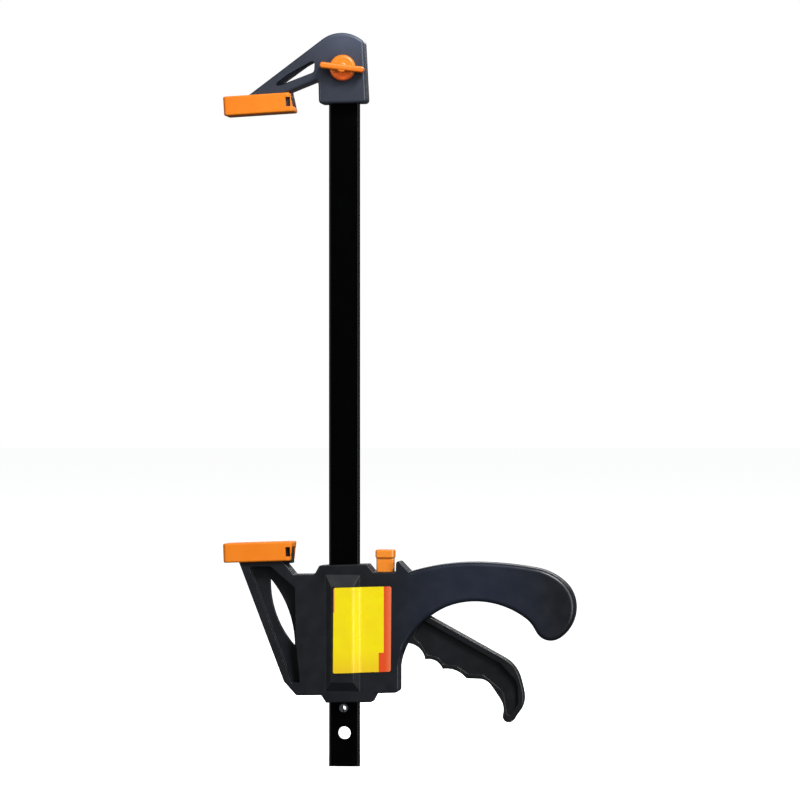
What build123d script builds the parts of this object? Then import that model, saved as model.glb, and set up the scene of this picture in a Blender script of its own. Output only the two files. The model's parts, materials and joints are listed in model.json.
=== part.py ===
from build123d import *
from math import atan2, cos, degrees, hypot, radians, sin, tan
import os

# Quick release bar clamp, millimetres, +Z up along the bar, X across the jaws, Y through the thickness.
# Origin: the middle of the fixed jaw pad's clamping face.
# Each jaw is drawn in its own frame (x from the bar's centreline, z from its pad face) and then placed.

# ---------------------------------------------------------------- fits
RUNNING = 0.06         # radial, pins in their bores
SLIDE = 0.15           # each side, flat sliding faces

# ---------------------------------------------------------------- bar and jaw positions
BAR_X = 68.8           # bar centreline from the origin: the middle of the throat's pad
BAR_W = 25.5
BAR_T = 6.0
BAR_EDGE_R = 2.4
BAR_TOP = 52.0
KNOB_Z = 37.1
OPENING = 350.2        # between the pad faces, measured at the pads' middles
COLLAR_BOTTOM = -130.6  # the moving jaw's lowest level, in its own frame
STOP_GAP = 1.1         # left between the moving jaw and the stop pin
STOP_PIN_R = 3.5
STOP_PIN_BORE_R = 1.9
STOP_PIN_SLIT = 1.0
STOP_PIN_LEN = 15.0
STOP_PIN_Z = COLLAR_BOTTOM - OPENING - STOP_GAP - STOP_PIN_R
END_HOLE_R = 5.25
PIN_TO_HOLE = 20.6
HOLE_TO_END = 27.4
END_HOLE_Z = STOP_PIN_Z - PIN_TO_HOLE
BAR_BOTTOM = END_HOLE_Z - HOLE_TO_END
BAR_REACH = hypot(BAR_W / 2 - BAR_EDGE_R, BAR_T / 2 - BAR_EDGE_R) + BAR_EDGE_R  # its corners, from its axis

# ---------------------------------------------------------------- pads
FJ_TOE = 3.4           # degrees, both faces rise towards the bar
MJ_TOE = 1.9
MJ_PAD_X = -0.9        # the moving jaw's pad stands this far out from the fixed jaw's
PAD_LEN = 57.4
PAD_DEPTH = 34.0
PAD_H = 15.8
PAD_CORNER_R = 3.0
PAD_EDGE_R = 1.4
PAD_FACE_T = 4.4
PAD_LIP_T = 3.6
PAD_WINDOW = (22.6, 26.4)  # through both side walls, from the pad's middle
PAD_SLANT = 2.4        # the bar-side end leans this much over the pad's height
FOOT_T = PAD_H - PAD_FACE_T - PAD_LIP_T
FOOT_HALF = 13.6
FOOT_END = 26.8        # foot's bar-side end, from the pad's middle
FOOT_START = -26.0
NECK_HALF = 9.0
NECK_START = -4.4

# ---------------------------------------------------------------- fixed jaw
FJ_HALF = 13.0
FJ_EDGE = 2.4
FJ_WEB_HALF = 5.0

# ---------------------------------------------------------------- lock knob
KNOB_TILT = -7.0       # degrees, how the wing stands when locked
KNOB_DISC_R = 10.6
KNOB_DISC_T = 5.0
KNOB_WING_L = 36.0
KNOB_WING_T = 5.0
KNOB_WING_H = 11.0
KNOB_HUB_R = 4.3
KNOB_SHANK_R = END_HOLE_R - 0.15
KNOB_NECK_R = 3.4
KNOB_LUG_W = 3.0
KNOB_LUG_T = 2.4
LUG_POCKET_R = 6.2
LUG_POCKET_DEPTH = 3.0
WASHER_T = 1.0

# ---------------------------------------------------------------- moving jaw shells
MJ_HALF = 13.5
BULGE_HALF = 17.8
BULGE_X = -0.1         # its middle, from the bar's centreline
BULGE_TOP_W = 18.0
BULGE_BASE_W = 29.4
HANDLE_R = 3.6
BODY_EDGE = 1.3
WEB_HALF = 4.0
CAV_HALF = 9.4
CORE_HALF = 10.0

# ---------------------------------------------------------------- trigger and drive
PIVOT = (43.3, -79.4)
TRIGGER_RANGE = 22.0
TRIGGER_HALF = 8.5
TRIGGER_WEB_HALF = 4.0
TRIGGER_EDGE = 1.2
BOSS_R = 9.0
PIN_R = 3.0
NOSE_REACH = 23.0
NOSE_R = 4.5
NOSE_ARM_HALF = 3.4
PLATE_T = 3.2
PLATE_HALF = 8.5
PLATE_HEEL = 3.5       # past the bar on the jaw's side
PLATE_TOE = 12.0       # past the bar on the trigger's side
DRIVE_GAP = 0.05
STROKE = NOSE_REACH * 2 * sin(radians(TRIGGER_RANGE / 2))
SPRING_CLEAR = 0.6     # round the bar's corners
SPRING_WIRE = 1.4
SPRING_TURNS = 5
SEAT_Z = -114.0
SEAT_T = 1.2

# ---------------------------------------------------------------- brake and release button
BRAKE_ANGLE = 4.5
BRAKE_PIVOT = (-21.0, -36.4)
BRAKE_T = 2.4          # each of the two plates
BRAKE_SPRING_R = 3.4
BRAKE_WIRE = 0.9
BRAKE_SPRING_H = 9.5
ANCHOR_R = 2.0
PIN_HALF = 12.2        # pins end in blind holes in the shells
GUIDE_T = 3.0
GUIDE_Z = [(-24.3, -20.3), (-126.0, -121.0)]
BUTTON_X = 33.7
BUTTON_HEAD_W = 15.7
BUTTON_HEAD_H = 7.0
BUTTON_TOP = -5.8
BUTTON_STEM_W = 14.3
BUTTON_STEM_D = 11.0
NOTCH_FLOOR = -23.8
NOTCH_WALL = 3.0

SCREWS = [(-29.5, -42.0), (-29.5, -112.0), (36.0, -118.4), (86.0, -32.5), (163.0, -48.0)]
SCREW_R = 1.75
SCREW_HEAD_R = 3.6
SCREW_HEAD_H = 2.6
SCREW_BOSS_R = 4.6


def place(shape, z=0.0):
    """A jaw-frame shape in the clamp's frame, z being the level of its pad face."""
    return Pos(BAR_X, 0, z) * shape


def rounded(corners):
    """A face on the XZ plane through (x, z, corner radius)."""
    line = FilletPolyline(
        *[(x, z) for x, z, _ in corners], radius=[r for _, _, r in corners], close=True
    )
    return Plane.XZ * make_face(line)


def face_of(*edges):
    """A face on the XZ plane from edges drawn in x and z."""
    return Plane.XZ * make_face(Curve() + list(edges))


def slab(face, half):
    """The face's solid, this much to each side of the middle plane."""
    return extrude(face, half, both=True)


def both_sides(face, low, high):
    """The face's solid from low to high on each side of the middle plane."""
    return slab(face, high) - slab(face, low)


def bearing(p, q):
    """Degrees of the way from p to q."""
    return degrees(atan2(q[1] - p[1], q[0] - p[0]))


def meet(p, a, q, b):
    """Where the line from p at a degrees crosses the line from q at b degrees."""
    a, b = radians(a), radians(b)
    t = ((q[0] - p[0]) * sin(b) - (q[1] - p[1]) * cos(b)) / (cos(a) * sin(b) - sin(a) * cos(b))
    return (p[0] + t * cos(a), p[1] + t * sin(a))


def arcs(start, heading, stops):
    """Arcs that run into one another from start through the stops, and the heading they end on."""
    out = []
    for stop in stops:
        out.append(TangentArc(start, stop, tangent=(cos(radians(heading)), sin(radians(heading)))))
        heading = 2 * bearing(start, stop) - heading
        start = stop
    return out, heading


def box(x, y, z):
    """A box from (low, high) pairs."""
    size = [hi - lo for lo, hi in (x, y, z)]
    mid = [(hi + lo) / 2 for lo, hi in (x, y, z)]
    return Pos(*mid) * Box(*size)


def peg(x, z, r, y0, y1):
    """A round bar along Y from y0 to y1."""
    return Pos(x, (y0 + y1) / 2, z) * Rot(90, 0, 0) * Cylinder(r, y1 - y0)


def coil(radius, wire, turns, height):
    """A compression spring of square wire, its ends ground flat, standing on z = 0."""
    pitch = height / turns
    path = Helix(pitch, pitch * (turns + 1), radius)
    section = Plane(origin=path @ 0, z_dir=path % 0) * Rectangle(wire, wire)
    wound = sweep(section, path=path, is_frenet=True)
    keep = Pos(0, 0, height / 2) * Cylinder(radius + wire, height)
    return (Pos(0, 0, -pitch / 2) * wound) & keep


def in_pad(shape, x, z, toe):
    """A shape drawn in a pad's frame, tilted by the toe-in about the pad face's middle at x, z."""
    return Pos(x, 0, z) * Rot(0, -toe, 0) * shape


# ================================================================ bar
bar = box((-BAR_W / 2, BAR_W / 2), (-BAR_T / 2, BAR_T / 2), (BAR_BOTTOM, BAR_TOP))
bar = fillet(bar.edges().filter_by(Axis.Z), BAR_EDGE_R)
for hole_z, hole_r in ((KNOB_Z, END_HOLE_R), (STOP_PIN_Z, STOP_PIN_R), (END_HOLE_Z, END_HOLE_R)):
    bar -= peg(0, hole_z, hole_r, -BAR_T, BAR_T)
bar = place(bar)

stop_pin = peg(0, STOP_PIN_Z, STOP_PIN_R, -STOP_PIN_LEN / 2, STOP_PIN_LEN / 2)
stop_pin -= peg(0, STOP_PIN_Z, STOP_PIN_BORE_R, -STOP_PIN_LEN, STOP_PIN_LEN)
slit = (STOP_PIN_Z - 2 * STOP_PIN_R, STOP_PIN_Z)
stop_pin -= box((-STOP_PIN_SLIT / 2, STOP_PIN_SLIT / 2), (-STOP_PIN_LEN, STOP_PIN_LEN), slit)
stop_pin = place(stop_pin)


# ================================================================ pads
def pad():
    """A slide-on pad with its face down at z = 0, open at the bar-side end (+X)."""
    half = PAD_LEN / 2
    side = rounded([(-half, 0, 0), (half, 0, 0), (half - PAD_SLANT, PAD_H, 0), (-half, PAD_H, 0)])
    body = slab(side, PAD_DEPTH / 2)
    body = fillet(body.edges().filter_by(lambda e: abs(e.center().Y) < 0.01, reverse=True).filter_by(
        lambda e: abs(e.center().Z - PAD_H / 2) < 0.01), PAD_CORNER_R)
    body = fillet(body.faces().filter_by(Axis.Z).edges(), PAD_EDGE_R)
    shelf = (PAD_FACE_T, PAD_FACE_T + FOOT_T)
    body -= box((FOOT_START, half + 1), (-FOOT_HALF, FOOT_HALF), shelf)
    body -= box((NECK_START, half + 1), (-NECK_HALF, NECK_HALF), (PAD_FACE_T, PAD_H + 1))
    return body - box(PAD_WINDOW, (-PAD_DEPTH, PAD_DEPTH), shelf)


def foot(neck_top):
    """The tongue that carries a pad, with its neck up to neck_top, in the pad's frame."""
    shelf = (PAD_FACE_T, PAD_FACE_T + FOOT_T)
    tongue = box((FOOT_START, FOOT_END), (-FOOT_HALF, FOOT_HALF), shelf)
    neck = box((NECK_START, FOOT_END), (-NECK_HALF, NECK_HALF), (shelf[1] - 1, neck_top))
    return tongue + neck


fixed_pad = in_pad(pad(), 0, 0, FJ_TOE)
fixed_foot = in_pad(foot(PAD_H + 2), 0, 0, FJ_TOE)
moving_pad = in_pad(mirror(pad(), Plane.XY), MJ_PAD_X, -OPENING, MJ_TOE)
moving_foot = in_pad(mirror(foot(PAD_H + 2), Plane.XY), MJ_PAD_X, -OPENING, MJ_TOE)


def on_fixed_pad(x):
    """A point of the fixed jaw's outline at x, on its pad's back face."""
    return (x, PAD_H / cos(radians(FJ_TOE)) + (x + BAR_X) * tan(radians(FJ_TOE)), 0.0)


def on_moving_pad(x):
    """A point of the moving jaw's outline at x, on its pad's back face."""
    return (x, (x + BAR_X - MJ_PAD_X) * tan(radians(MJ_TOE)) - PAD_H / cos(radians(MJ_TOE)), 0.0)


# ================================================================ fixed jaw
fj_outline = rounded([
    (-19.9, 7.9, 3.0),
    (19.5, 8.8, 3.0),
    (16.9, 59.0, 4.0),
    (-1.8, 72.3, 26.5),
    on_fixed_pad(-77.8),
    on_fixed_pad(-46.2),
    (-20.4, 27.5, 2.6),
])
fixed_jaw = slab(fj_outline, FJ_HALF)
fixed_jaw = fillet(
    fixed_jaw.edges().filter_by(lambda e: abs(abs(e.center().Y) - FJ_HALF) < 0.01 and e.center().Z > 6.0
                                and not (e.center().X < -50 and e.center().Z < 20)),
    FJ_EDGE,
)
fj_pocket = rounded([(-23.1, 44.4, 2.2), (-23.7, 34.0, 3.4), (-49.1, 23.3, 0.8), (-59.2, 21.8, 1.5),
                     (-45.4, 32.2, 1.0)])
fj_window = rounded([(-23.0, 44.8, 2.0), (-24.5, 34.5, 2.0), (-52.0, 24.0, 0.6)])
fixed_jaw -= both_sides(fj_pocket, FJ_WEB_HALF, FJ_HALF + 1)
fixed_jaw -= slab(fj_window, FJ_HALF)
bar_slot = (-BAR_W / 2 - SLIDE, BAR_W / 2 + SLIDE)
bar_slot_y = (-BAR_T / 2 - SLIDE, BAR_T / 2 + SLIDE)
fixed_jaw -= box(bar_slot, bar_slot_y, (0, BAR_TOP))
fixed_jaw -= peg(0, KNOB_Z, KNOB_SHANK_R + RUNNING, -FJ_HALF - 1, BAR_T / 2)
fixed_jaw -= peg(0, KNOB_Z, KNOB_NECK_R + RUNNING, 0, FJ_HALF + 1)
fixed_jaw -= peg(0, KNOB_Z, LUG_POCKET_R, FJ_HALF - LUG_POCKET_DEPTH, FJ_HALF + 1)
key_l = KNOB_SHANK_R + RUNNING
key_w = KNOB_LUG_W / 2 + SLIDE
keyhole = box((-key_w, key_w), (BAR_T / 2, FJ_HALF), (-key_l, key_l))
fixed_jaw -= Pos(0, 0, KNOB_Z) * Rot(0, -KNOB_TILT, 0) * keyhole
fixed_jaw = place(fixed_jaw) + fixed_foot

# ================================================================ lock knob and its washer
FACE_Y = -FJ_HALF
DISC_Y = FACE_Y - WASHER_T - DRIVE_GAP
knob_washer = peg(0, KNOB_Z, KNOB_DISC_R - 1.2, FACE_Y - WASHER_T, FACE_Y)
knob_washer -= peg(0, KNOB_Z, KNOB_SHANK_R + RUNNING, FACE_Y - 5, FACE_Y + 1)
knob_washer = place(knob_washer)

disc = peg(0, 0, KNOB_DISC_R, DISC_Y - KNOB_DISC_T, DISC_Y)
disc = fillet(disc.edges().filter_by(lambda e: e.center().Y < DISC_Y - 1), 2.4)
wing_x = (-KNOB_WING_L / 2, KNOB_WING_L / 2)
wing_y = (DISC_Y - KNOB_WING_H, DISC_Y - 0.6)
wing = box(wing_x, wing_y, (-KNOB_WING_T / 2, KNOB_WING_T / 2))
wing = fillet(wing.edges().filter_by(Axis.Y), 2.0)
wing = fillet(wing.faces().sort_by(Axis.Y)[0].edges(), 1.6)
hub = peg(0, 0, KNOB_HUB_R, DISC_Y - KNOB_WING_H + 0.5, DISC_Y - 0.6)
hub = fillet(hub.faces().sort_by(Axis.Y)[0].edges(), 1.4)
lock_knob = disc + wing + hub
lock_knob += peg(0, 0, KNOB_SHANK_R, DISC_Y - 1, BAR_T / 2)
lock_knob += peg(0, 0, KNOB_NECK_R, 0, FJ_HALF - 0.2)
lug_y = (FJ_HALF - 0.2 - KNOB_LUG_T, FJ_HALF - 0.2)
lock_knob += box((-KNOB_SHANK_R, KNOB_SHANK_R), lug_y, (-KNOB_LUG_W / 2, KNOB_LUG_W / 2))
lock_knob = place(Pos(0, 0, KNOB_Z) * Rot(0, -KNOB_TILT, 0) * lock_knob)

# ================================================================ moving jaw outline
wall_x = 45.7                # the housing's wall beside the finger opening
grip_r = 63.2
grip_start = radians(9.127)  # where the opening's arc leaves that wall
grip_c = (wall_x + grip_r * cos(grip_start), -110.9)
grip_top = (grip_c[0], grip_c[1] + grip_r)
wall_z = grip_c[1] + grip_r * sin(grip_start)
grip_mid = (grip_c[0] - grip_r * cos(radians(50)), grip_c[1] + grip_r * sin(radians(50)))


def off_grip(angle, gap):
    """A point this far outside the finger opening's circle, at an angle in degrees from +X."""
    reach = grip_r + gap
    return (grip_c[0] + reach * cos(radians(angle)), grip_c[1] + reach * sin(radians(angle)))


root = (57.9, -22.4)
crown = (106.8, -15.6)
butt = off_grip(26.07108, 14.61820)
knee = off_grip(40.39542, 0.22015)
belly = off_grip(50.86714, 1.13027)
root_heading = 2 * bearing(root, crown)
handle_end = [off_grip(61.42488, 40.08052), off_grip(47.86611, 44.27336), off_grip(35.78892, 37.51806), butt]
back, butt_heading = arcs(root, root_heading, [crown, *handle_end])
knee_heading = 2 * (bearing(knee, belly) - bearing(belly, grip_top)) + 180
tip = meet(butt, (butt_heading + knee_heading - 360) / 2, knee, knee_heading)
hook, _ = arcs(butt, butt_heading, [tip])
throat, _ = arcs(knee, knee_heading, [belly, grip_top])
tang_x = 54.4
tang_foot = (tang_x, root[1] - (root[0] - tang_x) * tan(radians(root_heading)))
body_corners = [
    (wall_x, wall_z, 0.0),
    (wall_x, -122.3, 3.6),
    (27.0, -122.9, 1.8),
    (23.3, COLLAR_BOTTOM + 0.4, 1.2),
    (-13.9, COLLAR_BOTTOM - 0.2, 1.5),
    (-17.9, -124.6, 1.8),
    (-38.4, -124.9, 2.0),
    (-48.6, -113.5, 2.0),
    on_moving_pad(-85.5),
    on_moving_pad(-48.9),
    (-40.0, -26.0, 2.0),
    (-23.3, -25.7, 2.0),
    (-19.4, -18.6, 2.2),
    (20.0, -17.3, 1.5),
    (25.4, NOTCH_FLOOR, 1.5),
    (43.1, NOTCH_FLOOR, 0.8),
    (43.5, -15.0, 2.2),
    (46.5, -15.1, 1.0),
    (*tang_foot, 0.0),
    (*root, 0.0),
]
body_line = FilletPolyline(
    *[(x, z) for x, z, _ in body_corners], radius=[r for _, _, r in body_corners[1:-1]]
)
outline = face_of(
    *back, *hook, Line(tip, knee), *throat,
    ThreePointArc(grip_top, grip_mid, (wall_x, wall_z)),
    *body_line.edges(),
)
blank = slab(outline, MJ_HALF)


def rim(test):
    """The outline's edges on both flat faces whose middles pass the test."""
    return blank.edges().filter_by(
        lambda e: abs(abs(e.center().Y) - MJ_HALF) < 0.01 and test(e.center())
    )


def on_grip(c):
    return c.X > root[0] or (c.X > wall_x + 0.1 and c.Z < -50)


def on_body(c):
    return c.Z < -14 and not on_grip(c) and not (c.X < -47.5 and c.Z > -18)


grip_side = slab(face_of(*Polyline(
    tang_foot, (wall_x, wall_z), (wall_x + 50, -250), (400, -250), (400, 50), (tang_foot[0], 50), tang_foot
).edges()), 50)
shell_body = fillet(rim(on_grip), HANDLE_R) & grip_side
shell_body += fillet(rim(on_body), BODY_EDGE) - grip_side


def bulge(side):
    """The raised barrel over the drive spring, on one side, with sloping sides and ends."""
    base = Plane.XZ.offset(-side * (MJ_HALF - 0.5)) * Pos(BULGE_X, -73.5) * Rectangle(BULGE_BASE_W, 97)
    top = Plane.XZ.offset(-side * BULGE_HALF) * Pos(BULGE_X, -75.0) * Rectangle(BULGE_TOP_W, 78)
    return loft([base.face(), top.face()])


shell_body += bulge(-1) + bulge(1)

# web round the lens-shaped window, sunk from both faces between the arm's ribs
web_face = rounded([
    (-77.1, -19.8, 1.5),
    (-59.6, -19.4, 1.5),
    (-39.1, -37.0, 3.0),
    (-38.5, -80.0, 20.0),
    (-35.0, -114.5, 1.5),
    (-42.3, -114.5, 1.5),
])
lens = face_of(
    ThreePointArc((-60.9, -29.2), (-46.2, -54.1), (-40.5, -85.2)),
    ThreePointArc((-40.5, -85.2), (-57.0, -57.0), (-60.9, -29.2)),
)
shell_body -= both_sides(web_face, WEB_HALF, MJ_HALF + 1)
shell_body -= slab(lens, MJ_HALF)

# ---------------------------------------------------------------- rooms inside the shells
nose_z = PIVOT[1] + NOSE_REACH * sin(radians(TRIGGER_RANGE / 2))
nose_x = PIVOT[0] - NOSE_REACH * cos(radians(TRIGGER_RANGE / 2))
plate_top = nose_z - NOSE_R - DRIVE_GAP
plate_bottom = plate_top - 2 * PLATE_T
plate_x = (-BAR_W / 2 - PLATE_HEEL, BAR_W / 2 + PLATE_TOE)
spring_r = BAR_REACH + SPRING_CLEAR + SPRING_WIRE / 2
spring_room_r = spring_r + SPRING_WIRE / 2 + 0.45
cavity_y = (-CAV_HALF, CAV_HALF)
core_y = (-CORE_HALF, CORE_HALF)
ceiling = NOTCH_FLOOR - NOTCH_WALL
brake_floor = BRAKE_PIVOT[1] - BRAKE_T - 1.2
way_x = (-BAR_W / 2 - 2 * SLIDE, BAR_W / 2 + 2 * SLIDE)
way_y = (-BAR_T / 2 - 2 * SLIDE, BAR_T / 2 + 2 * SLIDE)

rooms = [
    box(way_x, way_y, (COLLAR_BOTTOM - 3, -14)),
    box((plate_x[0] - 2.0, plate_x[1] + 2.5), cavity_y, (plate_bottom - STROKE - 1.5, -71.0)),
    Pos(0, 0, (SEAT_Z - SEAT_T + plate_top) / 2)
    * Cylinder(spring_room_r, plate_top - SEAT_Z + SEAT_T),
    slab(rounded([(15, -69, 0), (30, -69, 2), (45, -53, 3), (51, -47.6, 3), (66, -46.6, 3),
                  (84, -50.4, 0), (84, -76, 0), (62, -90.4, 0), (15, -90.4, 0)]), CAV_HALF),
    box((-27.0, 44.0), cavity_y, (brake_floor, ceiling)),
    box((-33.5, -21.5), core_y, (-104.0, -50.0)),
    box((31.0, 42.8), core_y, (-109.5, -93.4)),
]

core_face = rounded([
    (72, -27.5, 3), (105, -20.6, 60), (150, -24.2, 25), (176, -38, 10), (183.5, -54, 10),
    (176, -71, 6), (168, -74, 5), (152, -57, 20), (131, -44.6, 30), (108, -40.5, 30),
    (84, -45, 10), (72, -44, 3),
])
core = slab(core_face, CORE_HALF)
for rib_x in (98, 124, 150):
    core -= box((rib_x - 1, rib_x + 1), core_y, (-90, 0))
for x, z in SCREWS:
    core -= peg(x, z, SCREW_BOSS_R, -CORE_HALF, CORE_HALF)
rooms.append(core)

# spring pocket, stem hole and the seats of pins and guides
spring2_top = BRAKE_PIVOT[1] + (BUTTON_X - BRAKE_PIVOT[0]) * tan(radians(BRAKE_ANGLE)) - BRAKE_T - 0.4
spring2_floor = spring2_top - BRAKE_SPRING_H
rooms.append(Pos(BUTTON_X, 0, (spring2_floor + brake_floor + 1) / 2)
             * Cylinder(BRAKE_SPRING_R + 0.9, brake_floor + 1 - spring2_floor))
stem_x = (BUTTON_X - BUTTON_STEM_W / 2, BUTTON_X + BUTTON_STEM_W / 2)
stem_y = (-BUTTON_STEM_D / 2, BUTTON_STEM_D / 2)
rooms.append(box((stem_x[0] - SLIDE, stem_x[1] + SLIDE), (stem_y[0] - SLIDE, stem_y[1] + SLIDE),
                 (ceiling - 1, NOTCH_FLOOR + 1)))
anchor = (BRAKE_PIVOT[0], BRAKE_PIVOT[1] + BRAKE_T + ANCHOR_R + 0.05)
rooms.append(peg(*PIVOT, PIN_R, -PIN_HALF, PIN_HALF))
rooms.append(peg(*anchor, ANCHOR_R, -PIN_HALF, PIN_HALF))
GUIDE_X = (-BAR_W / 2 - GUIDE_T, BAR_W / 2 + GUIDE_T)
GUIDE_Y = (-BAR_T / 2 - GUIDE_T, BAR_T / 2 + GUIDE_T)
for low, high in GUIDE_Z:
    rooms.append(box(GUIDE_X, GUIDE_Y, (low, high)))
for room in rooms:
    shell_body -= room

moving_jaw = place(shell_body, -OPENING) + moving_foot
far = 400
front_shell = moving_jaw & box((-far, far), (-far, 0), (-2 * far, far))
rear_shell = moving_jaw & box((-far, far), (0, far), (-2 * far, far))

# ================================================================ screws, pins, guides
shell_screws = []
for x, z in SCREWS:
    head_y = MJ_HALF - SCREW_HEAD_H - 0.6
    tip_y = -MJ_HALF + 3.5
    shank = peg(x, z, SCREW_R, tip_y, head_y)
    head = peg(x, z, SCREW_HEAD_R, head_y, head_y + SCREW_HEAD_H)
    shell_screws.append(place(shank + head, -OPENING))
    rear_shell -= place(peg(x, z, SCREW_HEAD_R + 0.4, head_y, MJ_HALF + 1), -OPENING)
    rear_shell -= place(peg(x, z, SCREW_R, -1, head_y), -OPENING)
    front_shell -= place(peg(x, z, SCREW_R, tip_y, 1), -OPENING)
shell_screws = Compound(children=shell_screws)

trigger_pin = place(peg(*PIVOT, PIN_R, -PIN_HALF, PIN_HALF), -OPENING)
brake_anchor_pin = place(peg(*anchor, ANCHOR_R, -PIN_HALF, PIN_HALF), -OPENING)
guides = []
for low, high in GUIDE_Z:
    liner = box(GUIDE_X, GUIDE_Y, (low, high))
    liner -= box(bar_slot, bar_slot_y, (low - 1, high + 1))
    guides.append(place(liner, -OPENING))
seat = Pos(0, 0, SEAT_Z - SEAT_T / 2) * Cylinder(spring_room_r, SEAT_T)
seat -= box(way_x, way_y, (SEAT_Z - 5, SEAT_Z + 5))
seat = place(seat, -OPENING)

# ================================================================ trigger
cusps = [(100.7, -110.5), (81.3, -102.9), (67.0, -95.2), (53.2, -82.0)]
hollows = [(91.9, -104.0), (76.6, -96.9), (61.9, -85.7)]
heel = (66.0, -57.5)
crest = (131.5, -93.7)
spine, _ = arcs(crest, bearing(heel, crest), [
    (144.3, -109.5), (147.4, -122.7), (143.3, -138.0), (139.7, -143.5), (130.4, -139.9),
    (128.7, -127.8), (120.6, -115.8), (111.3, -110.9),
])
scallops = [ThreePointArc(a, m, b) for a, m, b in zip(cusps, hollows, cusps[1:])]
arm_face = face_of(
    Line(heel, crest), *spine, Line((111.3, -110.9), cusps[0]), *scallops,
    Line(cusps[3], PIVOT), Line(PIVOT, (38.0, -72.2)), Line((38.0, -72.2), heel),
)
nose_bar = Plane.XZ * (
    Pos((PIVOT[0] + nose_x) / 2, (PIVOT[1] + nose_z) / 2)
    * Rot(0, 0, -TRIGGER_RANGE / 2)
    * SlotCenterToCenter(NOSE_REACH, 2 * NOSE_ARM_HALF)
)
nose_bar += Plane.XZ * (Pos(nose_x, nose_z) * Circle(NOSE_R))
trigger = slab(arm_face, TRIGGER_HALF)
trigger = fillet(
    trigger.edges().filter_by(
        lambda e: abs(abs(e.center().Y) - TRIGGER_HALF) < 0.01
        and (e.center().X > 110 or e.center().Z > -76 and e.center().X > 80)
    ),
    TRIGGER_EDGE,
)
hollow_face = rounded([
    (62.1, -61.2, 2), (128.4, -97.8, 14), (142.5, -113.3, 12), (143.5, -131.0, 8),
    (137.0, -141.4, 2.5), (133.6, -140.0, 2), (130.6, -121.2, 10), (114.4, -107.9, 8),
    (101.8, -107.0, 4), (92.6, -100.8, 6), (82.1, -99.5, 4), (77.3, -93.6, 4), (68.3, -91.6, 4),
    (62.8, -82.4, 4), (57.2, -78.0, 3),
])
trigger -= both_sides(hollow_face, TRIGGER_WEB_HALF, TRIGGER_HALF + 1)
trigger += slab(nose_bar, TRIGGER_HALF)
trigger += peg(*PIVOT, BOSS_R, -TRIGGER_HALF, TRIGGER_HALF)
trigger -= peg(*PIVOT, PIN_R + RUNNING, -TRIGGER_HALF - 1, TRIGGER_HALF + 1)
trigger = place(trigger, -OPENING)

# ================================================================ drive plates and spring
drive_plates = []
for n in range(2):
    top = plate_top - n * PLATE_T
    plate = box(plate_x, (-PLATE_HALF, PLATE_HALF), (top - PLATE_T, top))
    plate = fillet(plate.edges().filter_by(Axis.Z), 3)
    plate -= box((-BAR_W / 2 - 0.1, BAR_W / 2 + 0.1), bar_slot_y, (top - PLATE_T - 1, top + 1))
    drive_plates.append(place(plate, -OPENING))
drive_spring = coil(spring_r, SPRING_WIRE, SPRING_TURNS, plate_bottom - SEAT_Z)
drive_spring = place(Pos(0, 0, SEAT_Z) * drive_spring, -OPENING)

# ================================================================ brake plates and spring
tilt = radians(BRAKE_ANGLE)
hole_l = (BAR_W + 0.24 + 2 * BRAKE_T * sin(tilt)) / cos(tilt)
hole_x = -BRAKE_PIVOT[0] / cos(tilt)
brake_plates = []
for low in (0, -BRAKE_T):
    plate = box((-5.0, 60.0), (-PLATE_HALF, PLATE_HALF), (low, low + BRAKE_T))
    plate = fillet(plate.edges().filter_by(Axis.Z), 3)
    plate -= box((hole_x - hole_l / 2, hole_x + hole_l / 2), bar_slot_y, (low - 1, low + BRAKE_T + 1))
    plate = Pos(BRAKE_PIVOT[0], 0, BRAKE_PIVOT[1]) * Rot(0, -BRAKE_ANGLE, 0) * plate
    brake_plates.append(place(plate, -OPENING))
brake_spring = Pos(BUTTON_X, 0, spring2_floor) * coil(
    BRAKE_SPRING_R, BRAKE_WIRE, 4, BRAKE_SPRING_H
)
brake_spring = place(brake_spring, -OPENING)

# ================================================================ release button
contact_z = (BRAKE_PIVOT[1] + (BUTTON_X - BRAKE_PIVOT[0]) * tan(tilt) + BRAKE_T / cos(tilt)
             + DRIVE_GAP)
button_head = box((BUTTON_X - BUTTON_HEAD_W / 2, BUTTON_X + BUTTON_HEAD_W / 2),
                  (-BUTTON_STEM_D / 2 - 1.5, BUTTON_STEM_D / 2 + 1.5),
                  (BUTTON_TOP - BUTTON_HEAD_H, BUTTON_TOP))
button_head = fillet(button_head.edges().filter_by(Axis.Z), 2.6)
button_head = fillet(button_head.faces().sort_by(Axis.Z)[-1].edges(), 1.4)
button_head = chamfer(button_head.faces().sort_by(Axis.Z)[0].edges(), 0.8)
stem = box(stem_x, stem_y, (ceiling - 1.6, BUTTON_TOP - 2))
stem = fillet(stem.edges().filter_by(Axis.Z), 1.5)
flange = box((stem_x[0] - 1.0, stem_x[1] + 1.0), (stem_y[0] - 1.2, stem_y[1] + 1.2),
             (ceiling - 1.6, ceiling - 0.05))
nub = peg(BUTTON_X, contact_z + 2.0, 2.0, -4.0, 4.0)
release_button = place(button_head + stem + flange + nub, -OPENING)

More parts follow.
